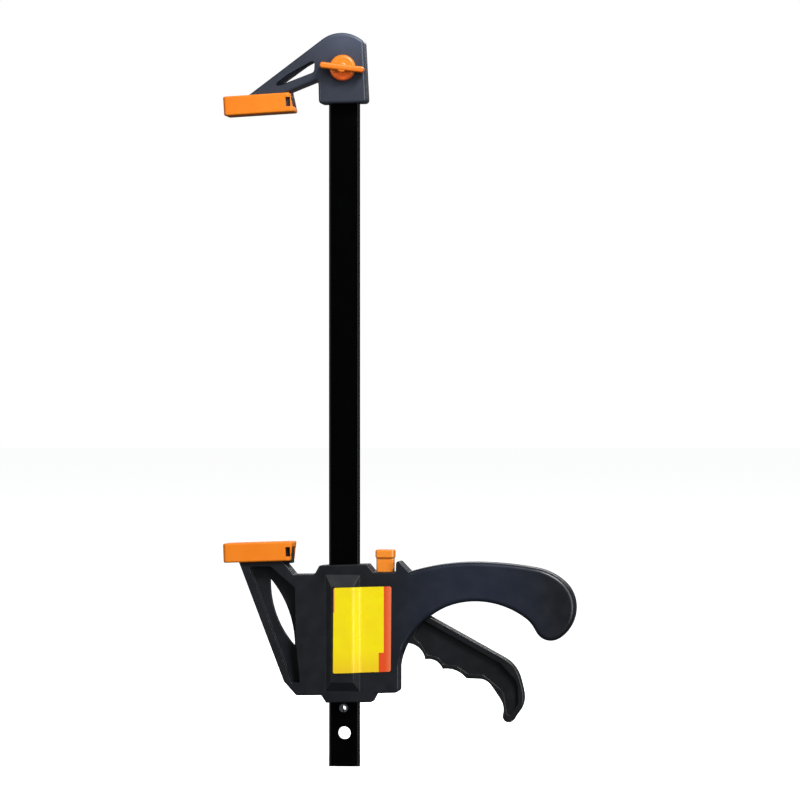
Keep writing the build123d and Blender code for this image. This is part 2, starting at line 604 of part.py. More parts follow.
# ================================================================ files
nodes = {
    "bar": bar,
    "stop_pin": stop_pin,
    "fixed_jaw": fixed_jaw,
    "fixed_jaw_pad": fixed_pad,
    "jaw_lock_knob": lock_knob,
    "knob_washer": knob_washer,
    "front_shell": front_shell,
    "rear_shell": rear_shell,
    "moving_jaw_pad": moving_pad,
    "shell_screws": shell_screws,
    "trigger_pin": trigger_pin,
    "brake_anchor_pin": brake_anchor_pin,
    "spring_seat_washer": seat,
    "bar_guide_upper": guides[0],
    "bar_guide_lower": guides[1],
    "trigger": trigger,
    "drive_plate_upper": drive_plates[0],
    "drive_plate_lower": drive_plates[1],
    "drive_spring": drive_spring,
    "brake_plate_upper": brake_plates[0],
    "brake_plate_lower": brake_plates[1],
    "brake_spring": brake_spring,
    "release_button": release_button,
}
os.makedirs("parts", exist_ok=True)
for name, shape in nodes.items():
    export_step(shape, f"parts/{name}.step")
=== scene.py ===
"""Looks of a quick release bar clamp: finishes, fine pieces, light and camera round its solid model."""

import json
import logging
import math
from dataclasses import dataclass, field
from enum import Enum
from typing import Callable, Protocol

import bpy
from mathutils import Matrix, Vector

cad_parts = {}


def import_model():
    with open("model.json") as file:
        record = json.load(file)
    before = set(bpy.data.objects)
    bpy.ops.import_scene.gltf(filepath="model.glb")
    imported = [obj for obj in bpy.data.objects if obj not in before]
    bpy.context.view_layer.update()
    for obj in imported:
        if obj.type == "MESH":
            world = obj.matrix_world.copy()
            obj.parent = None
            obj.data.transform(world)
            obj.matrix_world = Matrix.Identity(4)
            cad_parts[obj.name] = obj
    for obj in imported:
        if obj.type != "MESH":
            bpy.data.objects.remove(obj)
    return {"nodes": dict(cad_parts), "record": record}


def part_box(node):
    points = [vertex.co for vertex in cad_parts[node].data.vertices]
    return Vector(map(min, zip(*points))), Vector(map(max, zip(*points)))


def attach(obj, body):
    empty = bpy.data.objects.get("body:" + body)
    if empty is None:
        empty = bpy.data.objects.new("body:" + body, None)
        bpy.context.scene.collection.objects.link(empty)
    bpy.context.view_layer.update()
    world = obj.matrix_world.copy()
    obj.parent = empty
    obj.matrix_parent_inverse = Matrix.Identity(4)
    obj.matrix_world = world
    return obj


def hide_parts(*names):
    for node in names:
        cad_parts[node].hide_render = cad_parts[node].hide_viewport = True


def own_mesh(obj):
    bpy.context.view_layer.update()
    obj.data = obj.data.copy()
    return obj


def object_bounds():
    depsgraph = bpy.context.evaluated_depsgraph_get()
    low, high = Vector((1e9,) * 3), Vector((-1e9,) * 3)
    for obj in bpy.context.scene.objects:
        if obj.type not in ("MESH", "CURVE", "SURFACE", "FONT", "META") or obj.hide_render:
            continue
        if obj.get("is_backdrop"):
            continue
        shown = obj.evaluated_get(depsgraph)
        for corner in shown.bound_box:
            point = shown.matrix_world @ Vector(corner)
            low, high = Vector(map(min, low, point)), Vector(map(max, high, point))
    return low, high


LOG = logging.getLogger("bar_clamp")
MM = 0.001
TOUCH = 0.01 * MM
JAW_BODY = "moving_jaw"
Colour = tuple[float, float, float]
Point = tuple[float, float, float]
Place = tuple[float, float]
Socket = bpy.types.NodeSocket


class Axis(Enum):
    """A direction of the object's frame."""

    X = (1.0, 0.0, 0.0)
    Y = (0.0, 1.0, 0.0)
    Z = (0.0, 0.0, 1.0)


class Slot(Enum):
    """Names of the record's material slots for screw and spring steel."""

    SCREW = "screw_steel"
    SPRING = "spring_steel"


class Sum(Enum):
    """What a Math node does with its two values."""

    TIMES = "MULTIPLY"
    MINUS = "SUBTRACT"
    GREATER = "MAXIMUM"
    UNSIGNED = "ABSOLUTE"


class Element(Enum):
    """What a selection in edit mode is made of."""

    VERTEX = "VERT"
    EDGE = "EDGE"
    FACE = "FACE"


class Shaping(Enum):
    """The modifiers that finish the pieces."""

    WRAP = "SHRINKWRAP"
    WALL = "SOLIDIFY"
    CUT = "BOOLEAN"
    WIND = "SCREW"


def srgb(red: int, green: int, blue: int) -> Colour:
    """The linear colour of an 8-bit screen colour.

    Args:
        red: 0 to 255.
        green: 0 to 255.
        blue: 0 to 255.

    Returns:
        Three linear channels.
    """

    def channel(value: int) -> float:
        """One channel made linear."""
        c = value / 255.0
        return c / 12.92 if c <= 0.04045 else ((c + 0.055) / 1.055) ** 2.4

    return channel(red), channel(green), channel(blue)


# ---------------------------------------------------------------------------- node graphs
class Graph:
    """A material's node tree, built a node at a time."""

    def __init__(self, name: str) -> None:
        """Starts a material with a shader and nothing on it.

        Args:
            name: the material's name.
        """
        self.material = bpy.data.materials.new(name)
        self.material.use_nodes = True
        self.tree = self.material.node_tree
        self.tree.nodes.clear()
        output = self.tree.nodes.new("ShaderNodeOutputMaterial")
        self.shader = self.tree.nodes.new("ShaderNodeBsdfPrincipled")
        self.join(self.shader.outputs["BSDF"], output.inputs["Surface"])
        self.coords = self.tree.nodes.new("ShaderNodeTexCoord").outputs["Object"]

    def join(self, out: Socket, into: Socket) -> None:
        """Links one socket to another."""
        self.tree.links.new(out, into)

    def set(self, **values: float | Colour) -> None:
        """Sets constants on the shader's own sockets.

        Args:
            values: socket names with underscores for spaces, and their values.
        """
        for name, value in values.items():
            socket = self.shader.inputs[name.replace("_", " ")]
            socket.default_value = (*value, 1.0) if isinstance(value, tuple) else value

    def feed(self, name: str, value: Socket) -> None:
        """Links a field to one of the shader's sockets."""
        self.join(value, self.shader.inputs[name])

    def along(self, stretch: float) -> Socket:
        """Object coordinates whose patterns are longer along Z.

        Args:
            stretch: scale along Z, where 0.5 makes a pattern twice as long.

        Returns:
            The mapped vector.
        """
        node = self.tree.nodes.new("ShaderNodeMapping")
        node.inputs["Scale"].default_value = (1.0, 1.0, stretch)
        self.join(self.coords, node.inputs["Vector"])
        return node.outputs["Vector"]

    def noise(
        self, size: float, detail: float = 3.0, rough: float = 0.5, vector: Socket | None = None
    ) -> Socket:
        """A noise field.

        Args:
            size: size of its lumps, in metres.
            detail: how many finer layers it has.
            rough: how strong they are.
            vector: coordinates, or None for the object's.

        Returns:
            The value from 0 to 1.
        """
        node = self.tree.nodes.new("ShaderNodeTexNoise")
        node.inputs["Scale"].default_value = 1.0 / size
        node.inputs["Detail"].default_value = detail
        node.inputs["Roughness"].default_value = rough
        self.join(vector or self.coords, node.inputs["Vector"])
        return node.outputs["Fac"]

    def ramp(
        self, value: Socket, low: float, high: float, to_low: float = 0.0, to_high: float = 1.0
    ) -> Socket:
        """Maps one range of a field to another, held at both ends.

        Args:
            value: the field.
            low: where the field's range starts.
            high: where it ends, which may be the lower end.
            to_low: what the start becomes.
            to_high: what the end becomes.

        Returns:
            The mapped value.
        """
        node = self.tree.nodes.new("ShaderNodeMapRange")
        for name, number in (("From Min", low), ("From Max", high), ("To Min", to_low), ("To Max", to_high)):
            node.inputs[name].default_value = number
        self.join(value, node.inputs["Value"])
        return node.outputs["Result"]

    def past(self, which: Axis, place: float, edge: float) -> Socket:
        """A field that is 1 beyond a place on an axis and 0 before it, with a soft edge."""
        return self.ramp(self.axis(which), place - edge, place + edge)

    def before(self, which: Axis, place: float, edge: float) -> Socket:
        """A field that is 1 before a place on an axis and 0 beyond it, with a soft edge."""
        return self.ramp(self.axis(which), place - edge, place + edge, 1.0, 0.0)

    def math(self, operation: Sum, a: Socket | float, b: Socket | float = 0.0) -> Socket:
        """A Math node on two values.

        Args:
            operation: what it does with them.
            a: a socket or a number.
            b: a socket or a number.

        Returns:
            The result's socket.
        """
        node = self.tree.nodes.new("ShaderNodeMath")
        node.operation = operation.value
        for socket, value in zip(node.inputs, (a, b)):
            if isinstance(value, (int, float)):
                socket.default_value = value
            else:
                self.join(value, socket)
        return node.outputs[0]

    def mix(self, factor: Socket, a: Socket | Colour, b: Socket | Colour) -> Socket:
        """Mixes two colours.

        Args:
            factor: the second colour's share, from 0 to 1.
            a: the first colour.
            b: the second colour.

        Returns:
            The mixed colour's socket.
        """
        node = self.tree.nodes.new("ShaderNodeMix")
        node.data_type = "RGBA"
        self.join(factor, node.inputs["Factor"])
        for socket, value in zip((node.inputs[6], node.inputs[7]), (a, b)):
            if isinstance(value, tuple):
                socket.default_value = (*value, 1.0)
            else:
                self.join(value, socket)
        return node.outputs[2]

    def axis(self, which: Axis) -> Socket:
        """One object coordinate.

        Args:
            which: the axis.

        Returns:
            The coordinate, in metres.
        """
        node = self.tree.nodes.new("ShaderNodeSeparateXYZ")
        self.join(self.coords, node.inputs[0])
        return node.outputs[which.name]

    def round_edges(self, radius: float) -> None:
        """Shades sharp edges as if they had a small radius; comes before any bump.

        Args:
            radius: the radius in metres.
        """
        node = self.tree.nodes.new("ShaderNodeBevel")
        node.samples = 6
        node.inputs["Radius"].default_value = radius
        self.feed("Normal", node.outputs["Normal"])

    def bump(self, height: Socket, depth: float, strength: float = 1.0) -> None:
        """Adds a bump layer on top of the ones already there.

        Args:
            height: field from 0 to 1.
            depth: its depth in metres.
            strength: its share, from 0 to 1.
        """
        node = self.tree.nodes.new("ShaderNodeBump")
        node.inputs["Distance"].default_value = depth
        node.inputs["Strength"].default_value = strength
        self.join(height, node.inputs["Height"])
        normal = self.shader.inputs["Normal"]
        if normal.is_linked:
            self.join(normal.links[0].from_socket, node.inputs["Normal"])
        self.join(node.outputs["Normal"], normal)


# ---------------------------------------------------------------------------- kinds of finish
class Finish(Protocol):
    """Anything that can be mixed into a node material."""

    @property
    def name(self) -> str:
        """The material's name."""

    def material(self) -> bpy.types.Material:
        """Makes the node material."""


@dataclass(frozen=True)
class PaintedLight:
    """Painted light or shade on a moulding: a colour ramped in along one axis, which may fade out along an
    axis again.
    """

    axis: Axis
    start: float
    end: float
    colour: Colour
    fade_axis: Axis | None = None
    fade_start: float = 0.0
    fade_end: float = 0.0

    def share(self, g: Graph) -> Socket:
        """How much of the painted light's colour shows at each place.

        Args:
            g: the material's graph.

        Returns:
            The share from 0 to 1.
        """
        grown = g.ramp(g.axis(self.axis), self.start, self.end)
        if self.fade_axis is None:
            return grown
        left = g.ramp(g.axis(self.fade_axis), self.fade_start, self.fade_end, 1.0, 0.0)
        return g.math(Sum.TIMES, grown, left)


@dataclass(frozen=True)
class MouldedPlastic:
    """Injection-moulded plastic with a fine spark-eroded grain, flow marks and rubbed high spots, and on
    some parts painted light or shade ramped in along an axis.
    """

    name: str
    colour: Colour
    pale: Colour
    roughness: float = 0.36
    specular: float = 0.5
    subsurface: float = 0.0
    grain_depth: float = 0.018 * MM
    seam: bool = False
    painted_light: PaintedLight | None = None
    grain: float = 0.45 * MM
    edge: float = 0.45 * MM
    flow: float = 26 * MM
    rub: float = 3.2 * MM
    gloss_patch: float = 9 * MM
    seam_flat: float = 0.05 * MM
    seam_end: float = 0.16 * MM
    seam_depth: float = 0.12 * MM
    seam_shade: float = 0.25
    light_reach: float = 1.5 * MM

    def material(self) -> bpy.types.Material:
        """Makes the node material.

        Returns:
            The material.
        """
        g = Graph(self.name)
        g.round_edges(self.edge)
        tone = g.mix(
            g.ramp(g.noise(self.flow, 2.0, 0.5, g.along(0.45)), 0.3, 0.75), self.colour, self.pale
        )
        # Painted light: a lighter or darker colour ramped in along an axis stands in for light or shade.
        if self.painted_light:
            tone = g.mix(self.painted_light.share(g), tone, self.painted_light.colour)
        tone = g.mix(g.ramp(g.noise(self.rub, 5.0, 0.62), 0.62, 0.78, 0.0, 0.35), tone, self.pale)
        if self.seam:
            tone = self.parting_line(g, tone)
        g.feed("Base Color", tone)
        patches = g.noise(self.gloss_patch, 4.0)
        g.feed("Roughness", g.ramp(patches, 0.3, 0.7, self.roughness - 0.05, self.roughness + 0.06))
        g.bump(g.noise(self.grain, 2.0, 0.6), self.grain_depth)
        g.set(Specular_IOR_Level=self.specular)
        if self.subsurface:
            g.set(Subsurface_Weight=self.subsurface, Subsurface_Scale=self.light_reach)
        return g.material

    def parting_line(self, g: Graph, tone: Socket) -> Socket:
        """Draws the fine dark groove where the two shells meet, at Y 0.

        Args:
            g: the material's graph.
            tone: the colour so far.

        Returns:
            The colour with the groove.
        """
        line = g.ramp(g.math(Sum.UNSIGNED, g.axis(Axis.Y)), self.seam_flat, self.seam_end, 1.0, 0.0)
        g.bump(g.math(Sum.MINUS, 1.0, line), self.seam_depth)
        return g.mix(line, tone, tuple(c * self.seam_shade for c in self.colour))


@dataclass(frozen=True)
class PaintedSteel:
    """Bar stock under a thin black oxide and lacquer, drawn along its length, a little rubbed."""

    name: str
    colour: Colour
    worn: Colour
    draw_mark: float = 1.1 * MM
    patch: float = 14 * MM
    mark_depth: float = 0.004 * MM

    def material(self) -> bpy.types.Material:
        """Makes the node material.

        Returns:
            The material.
        """
        g = Graph(self.name)
        drawn = g.noise(self.draw_mark, 3.0, 0.55, g.along(0.02))
        patch = g.noise(self.patch, 4.0, 0.6)
        wear = g.math(Sum.TIMES, g.ramp(drawn, 0.56, 0.78), g.ramp(patch, 0.45, 0.75))
        g.feed("Base Color", g.mix(wear, self.colour, self.worn))
        g.feed("Roughness", g.ramp(patch, 0.3, 0.7, 0.18, 0.26))
        g.bump(drawn, self.mark_depth)
        g.set(Metallic=0.0, Specular_IOR_Level=0.1)
        return g.material


@dataclass(frozen=True)
class BareSteel:
    """Zinc-plated, oiled or blued steel with a fine turned grain and a cloudy tone."""

    name: str
    colour: Colour
    dark: Colour
    roughness: float = 0.34
    cloud: float = 2.4 * MM
    grain: float = 0.25 * MM
    grain_depth: float = 0.008 * MM

    def material(self) -> bpy.types.Material:
        """Makes the node material.

        Returns:
            The material.
        """
        g = Graph(self.name)
        cloud = g.noise(self.cloud, 5.0, 0.6)
        g.feed("Base Color", g.mix(g.ramp(cloud, 0.35, 0.72), self.colour, self.dark))
        g.feed("Roughness", g.ramp(cloud, 0.3, 0.7, self.roughness - 0.06, self.roughness + 0.1))
        g.bump(g.noise(self.grain, 2.0), self.grain_depth)
        g.set(Metallic=1.0)
        return g.material


@dataclass(frozen=True)
class LabelFilm:
    """A bare yellow film with an orange band, an orange block at its foot and a short strip on its left."""

    name: str
    yellow: Colour
    amber: Colour
    orange: Colour
    faded: Colour
    band_left: float
    block_left: float
    block_top: float
    strip_right: float
    strip_foot: float
    amber_top: float
    amber_foot: float
    print_edge: float = 0.12 * MM
    fade_from: float = 1 * MM
    fade_to: float = 6 * MM
    cloud: float = 14 * MM
    rub: float = 1.6 * MM
    ripple: float = 7 * MM
    ripple_depth: float = 0.25 * MM
    grain: float = 0.5 * MM
    grain_depth: float = 0.006 * MM
    gloss_patch: float = 6 * MM

    def material(self) -> bpy.types.Material:
        """Makes the node material.

        Returns:
            The material.
        """
        g = Graph(self.name)
        g.feed("Base Color", self.printed(g))
        g.bump(g.noise(self.ripple, 2.0, 0.5, g.along(0.5)), self.ripple_depth, 0.5)
        g.bump(g.noise(self.grain, 3.0, 0.6), self.grain_depth)
        g.feed("Roughness", g.ramp(g.noise(self.gloss_patch, 3.0), 0.3, 0.7, 0.26, 0.4))
        g.set(Specular_IOR_Level=0.4)
        return g.material

    def printed(self, g: Graph) -> Socket:
        """Lays the yellow field and the orange areas over each other.

        Args:
            g: the material's graph.

        Returns:
            The film's colour.
        """
        band = g.past(Axis.X, self.band_left, self.print_edge)
        block = g.math(
            Sum.TIMES,
            g.past(Axis.X, self.block_left, self.print_edge),
            g.before(Axis.Z, self.block_top, self.print_edge),
        )
        strip = g.math(
            Sum.TIMES,
            g.before(Axis.X, self.strip_right, self.print_edge),
            g.past(Axis.Z, self.strip_foot, self.print_edge),
        )
        low = g.ramp(g.axis(Axis.Z), self.amber_foot, self.amber_top, 0.85, 0.0)
        cloud = g.ramp(g.noise(self.cloud, 3.0), 0.35, 0.75, 0.0, 0.35)
        paper = g.mix(g.math(Sum.GREATER, low, cloud), self.yellow, self.amber)
        fade = g.ramp(g.axis(Axis.X), self.band_left + self.fade_from, self.band_left + self.fade_to)
        tone = g.mix(g.math(Sum.GREATER, band, block), paper, g.mix(fade, self.orange, self.faded))
        rubbed = g.ramp(g.noise(self.rub, 4.0, 0.65), 0.66, 0.8, 0.0, 0.3)
        return g.mix(strip, g.mix(rubbed, tone, self.amber), self.faded)


@dataclass(frozen=True)
class CutEdge:
    """The film's cut edge, where its pale core shows."""

    name: str
    core: Colour
    print_colour: Colour
    fleck: float = 0.8 * MM

    def material(self) -> bpy.types.Material:
        """Makes the node material.

        Returns:
            The material.
        """
        g = Graph(self.name)
        g.feed("Base Color", g.mix(g.noise(self.fleck), self.core, self.print_colour))
        g.set(Roughness=0.5)
        return g.material


# ---------------------------------------------------------------------------- the clamp's finishes
# The ramp along X paints a bluish sheen over the handle's middle, a painted highlight.
HOUSING_PLASTIC = MouldedPlastic(
    "jaw_plastic_grained",
    srgb(19, 21, 25),
    srgb(26, 29, 35),
    seam=True,
    painted_light=PaintedLight(Axis.X, 102 * MM, 152 * MM, srgb(31, 37, 51), Axis.X, 195 * MM, 246 * MM),
)
# A lighter copy of the jaw plastic, painted light: the fixed jaw stood brighter in the light. The ramp along
# Z paints a highlight towards the dome's top.
FIXED_JAW_PLASTIC_PAINTED_LIT = MouldedPlastic(
    "fixed_jaw_plastic_painted_lit",
    srgb(45, 48, 57),
    srgb(54, 58, 69),
    painted_light=PaintedLight(Axis.Z, 34 * MM, 66 * MM, srgb(78, 84, 102), Axis.X, 66 * MM, 36 * MM),
)
TRIGGER_PLASTIC = MouldedPlastic("trigger_plastic_grained", srgb(14, 15, 18), srgb(20, 21, 26))
PAD_PLASTIC = MouldedPlastic(
    "pad_soft_plastic",
    srgb(242, 126, 18),
    srgb(245, 136, 28),
    roughness=0.5,
    specular=0.3,
    subsurface=0.15,
    grain_depth=0.01 * MM,
)
KNOB_PLASTIC = MouldedPlastic(
    "knob_plastic",
    srgb(244, 126, 20),
    srgb(248, 142, 38),
    roughness=0.30,
    specular=0.7,
    subsurface=0.1,
    grain_depth=0.006 * MM,
    # The ramp along Z paints shade: the knob's lower part deeper and redder, as under the wing's shade.
    painted_light=PaintedLight(Axis.Z, 37 * MM, 30 * MM, srgb(254, 106, 34)),
)
BUTTON_PLASTIC = MouldedPlastic(
    "button_plastic",
    srgb(246, 134, 28),
    srgb(249, 150, 52),
    roughness=0.30,
    specular=0.7,
    subsurface=0.1,
    grain_depth=0.006 * MM,
)
BAR_LACQUER = PaintedSteel("bar_black_lacquer", srgb(2, 2, 2), srgb(7, 8, 8))
PIN_ZINC = BareSteel("pin_zinc", srgb(176, 178, 182), srgb(120, 122, 126))
PLATE_STEEL = BareSteel("plate_oiled_steel", srgb(122, 122, 126), srgb(84, 84, 90), roughness=0.4)
SPRING_STEEL = BareSteel("spring_wire_steel", srgb(96, 98, 106), srgb(62, 64, 70), roughness=0.3)
SCREW_ZINC = BareSteel("screw_zinc", srgb(190, 192, 196), srgb(150, 152, 158), roughness=0.3)


# ---------------------------------------------------------------------------- bench
class Bench:
    """The modelling moves that the pieces share."""

    @staticmethod
    def deselect() -> None:
        """Leaves edit mode and deselects everything."""
        if bpy.context.object and bpy.context.object.mode != "OBJECT":
            bpy.ops.object.mode_set(mode="OBJECT")
        bpy.ops.object.select_all(action="DESELECT")

    @staticmethod
    def pick(obj: bpy.types.Object) -> None:
        """Makes one object the selected and active one.

        Args:
            obj: the object.
        """
        Bench.deselect()
        obj.select_set(True)
        bpy.context.view_layer.objects.active = obj

    @staticmethod
    def named(name: str) -> bpy.types.Object:
        """Names the object just added, with its place in its mesh.

        Args:
            name: the piece's name.

        Returns:
            The object, at the origin.
        """
        obj = bpy.context.object
        obj.name = name
        obj.data.name = name
        bpy.ops.object.transform_apply(location=True, rotation=True, scale=True)
        return obj

    @staticmethod
    def open(obj: bpy.types.Object, element: Element) -> None:
        """Clears the selection in one selection mode and leaves edit mode, ready for a choice in code.

        Args:
            obj: the piece.
            element: what will be chosen.
        """
        Bench.pick(obj)
        bpy.ops.object.mode_set(mode="EDIT")
        bpy.ops.mesh.select_mode(type=element.value)
        bpy.ops.mesh.select_all(action="DESELECT")
        bpy.ops.object.mode_set(mode="OBJECT")

    @staticmethod
    def select_vertices(obj: bpy.types.Object, test: Callable[[Vector], bool]) -> None:
        """Selects the vertices that pass a test and goes into edit mode.

        Args:
            obj: the piece.
            test: tells from a vertex's place whether it is wanted.
        """
        Bench.open(obj, Element.VERTEX)
        for vertex in obj.data.vertices:
            vertex.select = test(vertex.co)
        bpy.ops.object.mode_set(mode="EDIT")

    @staticmethod
    def select_edges(obj: bpy.types.Object, test: Callable[[Vector], bool]) -> None:
        """Selects the edges whose two ends pass a test and goes into edit mode.

        Args:
            obj: the piece.
            test: tells from an end's place whether it is wanted.
        """
        Bench.open(obj, Element.EDGE)
        points = obj.data.vertices
        for edge in obj.data.edges:
            edge.select = all(test(points[n].co) for n in edge.vertices)
        bpy.ops.object.mode_set(mode="EDIT")

    @staticmethod
    def select_faces(obj: bpy.types.Object, test: Callable[[Vector], bool]) -> None:
        """Selects the faces whose centre passes a test and goes into edit mode.

        Args:
            obj: the piece.
            test: tells from a face's centre whether it is wanted.
        """
        Bench.open(obj, Element.FACE)
        for face in obj.data.polygons:
            face.select = test(face.center)
        bpy.ops.object.mode_set(mode="EDIT")

    @staticmethod
    def done(obj: bpy.types.Object, smooth: float) -> None:
        """Back to object mode, with normals outwards and smooth shading under an angle.

        Args:
            obj: the piece.
            smooth: degrees up to which neighbouring faces shade as one.
        """
        Bench.pick(obj)
        bpy.ops.object.mode_set(mode="EDIT")
        bpy.ops.mesh.select_all(action="SELECT")
        bpy.ops.mesh.remove_doubles(threshold=1e-6)
        bpy.ops.mesh.normals_make_consistent(inside=False)
        bpy.ops.object.mode_set(mode="OBJECT")
        bpy.ops.object.shade_smooth_by_angle(angle=math.radians(smooth))

    @staticmethod
    def modifier(obj: bpy.types.Object, kind: Shaping, **settings: object) -> None:
        """Adds a modifier, sets it and applies it.

        Args:
            obj: the piece.
            kind: which modifier.
            settings: its properties.
        """
        Bench.pick(obj)
        made = obj.modifiers.new(kind.name.title(), kind.value)
        for key, value in settings.items():
            setattr(made, key, value)
        bpy.ops.object.modifier_apply(modifier=made.name)

    @staticmethod
    def copy(obj: bpy.types.Object, name: str, move: Vector) -> bpy.types.Object:
        """A copy with its own mesh, moved.

        Args:
            obj: what is copied.
            name: the copy's name.
            move: how far, in metres.

        Returns:
            The copy, at the origin.
        """
        made = obj.copy()
        made.data = obj.data.copy()
        made.name = name
        made.data.name = name
        made.data.transform(Matrix.Translation(move))
        bpy.context.scene.collection.objects.link(made)
        return made


def dress(obj: bpy.types.Object, material: bpy.types.Material) -> None:
    """Gives a piece or a node one material.

    Args:
        obj: the piece or the node.
        material: what it is made of.
    """
    obj.data.materials.clear()
    obj.data.materials.append(material)
    for face in obj.data.polygons:
        face.material_index = 0


def add(piece: bpy.types.Object, replaces: str | None = None) -> None:
    """Sets a finished piece on the moving jaw.

    Args:
        piece: the finished piece.
        replaces: the node that it stands for, or None.
    """
    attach(piece, JAW_BODY)
    if replaces is not None:
        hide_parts(replaces)
    LOG.info("piece %s on %s", piece.name, JAW_BODY)


class PaintShop:
    """Mixes each finish once and shares it among the nodes and pieces that wear it."""

    def __init__(self, nodes: dict[str, bpy.types.Object]) -> None:
        """Takes in the solid model's nodes.

        Args:
            nodes: the nodes' objects by name.
        """
        self.nodes = nodes
        self.mixed: dict[str, bpy.types.Material] = {}

    def mix(self, finish: Finish) -> bpy.types.Material:
        """A finish's material, made the first time it is asked for.

        Args:
            finish: the finish.

        Returns:
            Its material.
        """
        if finish.name not in self.mixed:
            self.mixed[finish.name] = finish.material()
        return self.mixed[finish.name]

    def paint(self, finish: Finish, *names: str) -> None:
        """Gives some nodes their finish.

        Args:
            finish: the finish.
            names: the nodes.
        """
        for name in names:
            dress(self.nodes[name], self.mix(finish))
            LOG.info("node %s in %s", name, finish.name)


# ---------------------------------------------------------------------------- fine pieces
@dataclass
class LabelPlate:
    """The bare film stuck over the housing's raised barrel and the flat face beside it.

    Its corners run from the upper left clockwise, in millimetres from the origin.
    """

    origin: Vector
    corners: tuple[Place, ...] = ((-7.2, -36.8), (39.8, -35.5), (39.3, -105.0), (-7.6, -106.6))
    corner_radius: float = 1.6 * MM
    corner_segments: int = 6
    thickness: float = 0.5 * MM
    lift: float = 0.28 * MM
    column: float = 0.8 * MM
    row: float = 2.0 * MM
    smoothing: int = 8
    stand_off: float = 30 * MM
    cut_edge: float = 0.45 * MM
    blank_size: float = 1.0
    film: LabelFilm = field(init=False)
    edge: CutEdge = field(init=False)

    def __post_init__(self) -> None:
        """Works the print's place out from the plate's."""
        x, z = self.origin.x, self.origin.z
        self.film = LabelFilm(
            name="label_film",
            yellow=srgb(246, 227, 16),
            amber=srgb(236, 194, 34),
            orange=srgb(226, 80, 34),
            faded=srgb(236, 120, 78),
            band_left=x + 33.6 * MM,
            block_left=x + 29.4 * MM,
            block_top=z - 89.6 * MM,
            strip_right=x - 6.4 * MM,
            strip_foot=z - 57.0 * MM,
            amber_top=z - 84.0 * MM,
            amber_foot=z - 106.0 * MM,
        )
        self.edge = CutEdge("label_cut_edge", srgb(250, 226, 150), self.film.yellow)

    def build(self, carrier: bpy.types.Object) -> None:
        """Lays the film on the housing's front and gives it its thickness.

        Args:
            carrier: the node that the film sticks to.
        """
        film = self.blank()
        self.cut_margin(film)
        self.score(film)
        Bench.modifier(
            film,
            Shaping.WRAP,
            target=carrier,
            wrap_method="PROJECT",
            use_project_x=False,
            use_project_y=True,
            use_project_z=False,
            use_positive_direction=True,
            use_negative_direction=False,
            offset=0.0,
        )
        self.relax(film)
        Bench.modifier(film, Shaping.WALL, thickness=self.thickness, offset=0.0)
        Bench.done(film, 40.0)
        film.data.materials.clear()
        for finish in (self.film, self.edge):
            film.data.materials.append(finish.material())
        add(film)

    def blank(self) -> bpy.types.Object:
        """Cuts the film's outline, four leaning sides with rounded corners.

        Returns:
            The flat film, in front of the housing.
        """
        Bench.deselect()
        front = self.origin - Vector((0.0, self.stand_off, 0.0))
        bpy.ops.mesh.primitive_plane_add(
            size=self.blank_size, rotation=(math.pi / 2, 0.0, 0.0), location=front
        )
        film = Bench.named("label_plate")
        half = self.blank_size / 2
        starts = ((-half, half), (half, half), (half, -half), (-half, -half))
        for (start_x, start_z), (x, z) in zip(starts, self.corners):
            start = self.origin + Vector((start_x, 0.0, start_z))
            end = self.origin + Vector((x * MM, 0.0, z * MM))
            Bench.select_vertices(film, lambda v: (v - start).xz.length < TOUCH)
            bpy.ops.transform.translate(value=end - start)
        bpy.ops.mesh.select_all(action="SELECT")
        bpy.ops.mesh.bevel(offset=self.corner_radius, segments=self.corner_segments, affect="VERTICES")
        return film

    def cut_margin(self, film: bpy.types.Object) -> None:
        """Sets off the cut edge as a thin margin with the second material.

        Args:
            film: the flat film.
        """
        bpy.ops.mesh.select_all(action="SELECT")
        bpy.ops.mesh.select_mode(type=Element.FACE.value)
        bpy.ops.mesh.inset(thickness=self.cut_edge, use_boundary=True)
        bpy.ops.object.mode_set(mode="OBJECT")
        for face in film.data.polygons:
            face.material_index = 0 if face.select else 1

    def score(self, film: bpy.types.Object) -> None:
        """Scores the film into small fields, so that it can bend over the barrel.

        Args:
            film: the flat film.
        """
        Bench.pick(film)
        bpy.ops.object.mode_set(mode="EDIT")
        xs, zs = ([corner[n] * MM for corner in self.corners] for n in (0, 1))
        for low, high, step, axis in (
            (min(xs), max(xs), self.column, Axis.X),
            (min(zs), max(zs), self.row, Axis.Z),
        ):
            way = Vector(axis.value)
            for n in range(1, int((high - low) / step)):
                bpy.ops.mesh.select_all(action="SELECT")
                bpy.ops.mesh.bisect(plane_co=self.origin + way * (low + n * step), plane_no=way)
        bpy.ops.object.mode_set(mode="OBJECT")

    def relax(self, film: bpy.types.Object) -> None:
        """Eases the film's bends and lifts it off the housing.

        Args:
            film: the film on the housing.
        """
        Bench.pick(film)
        bpy.ops.object.mode_set(mode="EDIT")
        bpy.ops.mesh.select_all(action="SELECT")
        bpy.ops.mesh.vertices_smooth(
            factor=0.5, repeat=self.smoothing, xaxis=False, yaxis=True, zaxis=False
        )
        bpy.ops.transform.translate(value=(0.0, -self.lift, 0.0))
        bpy.ops.object.mode_set(mode="OBJECT")


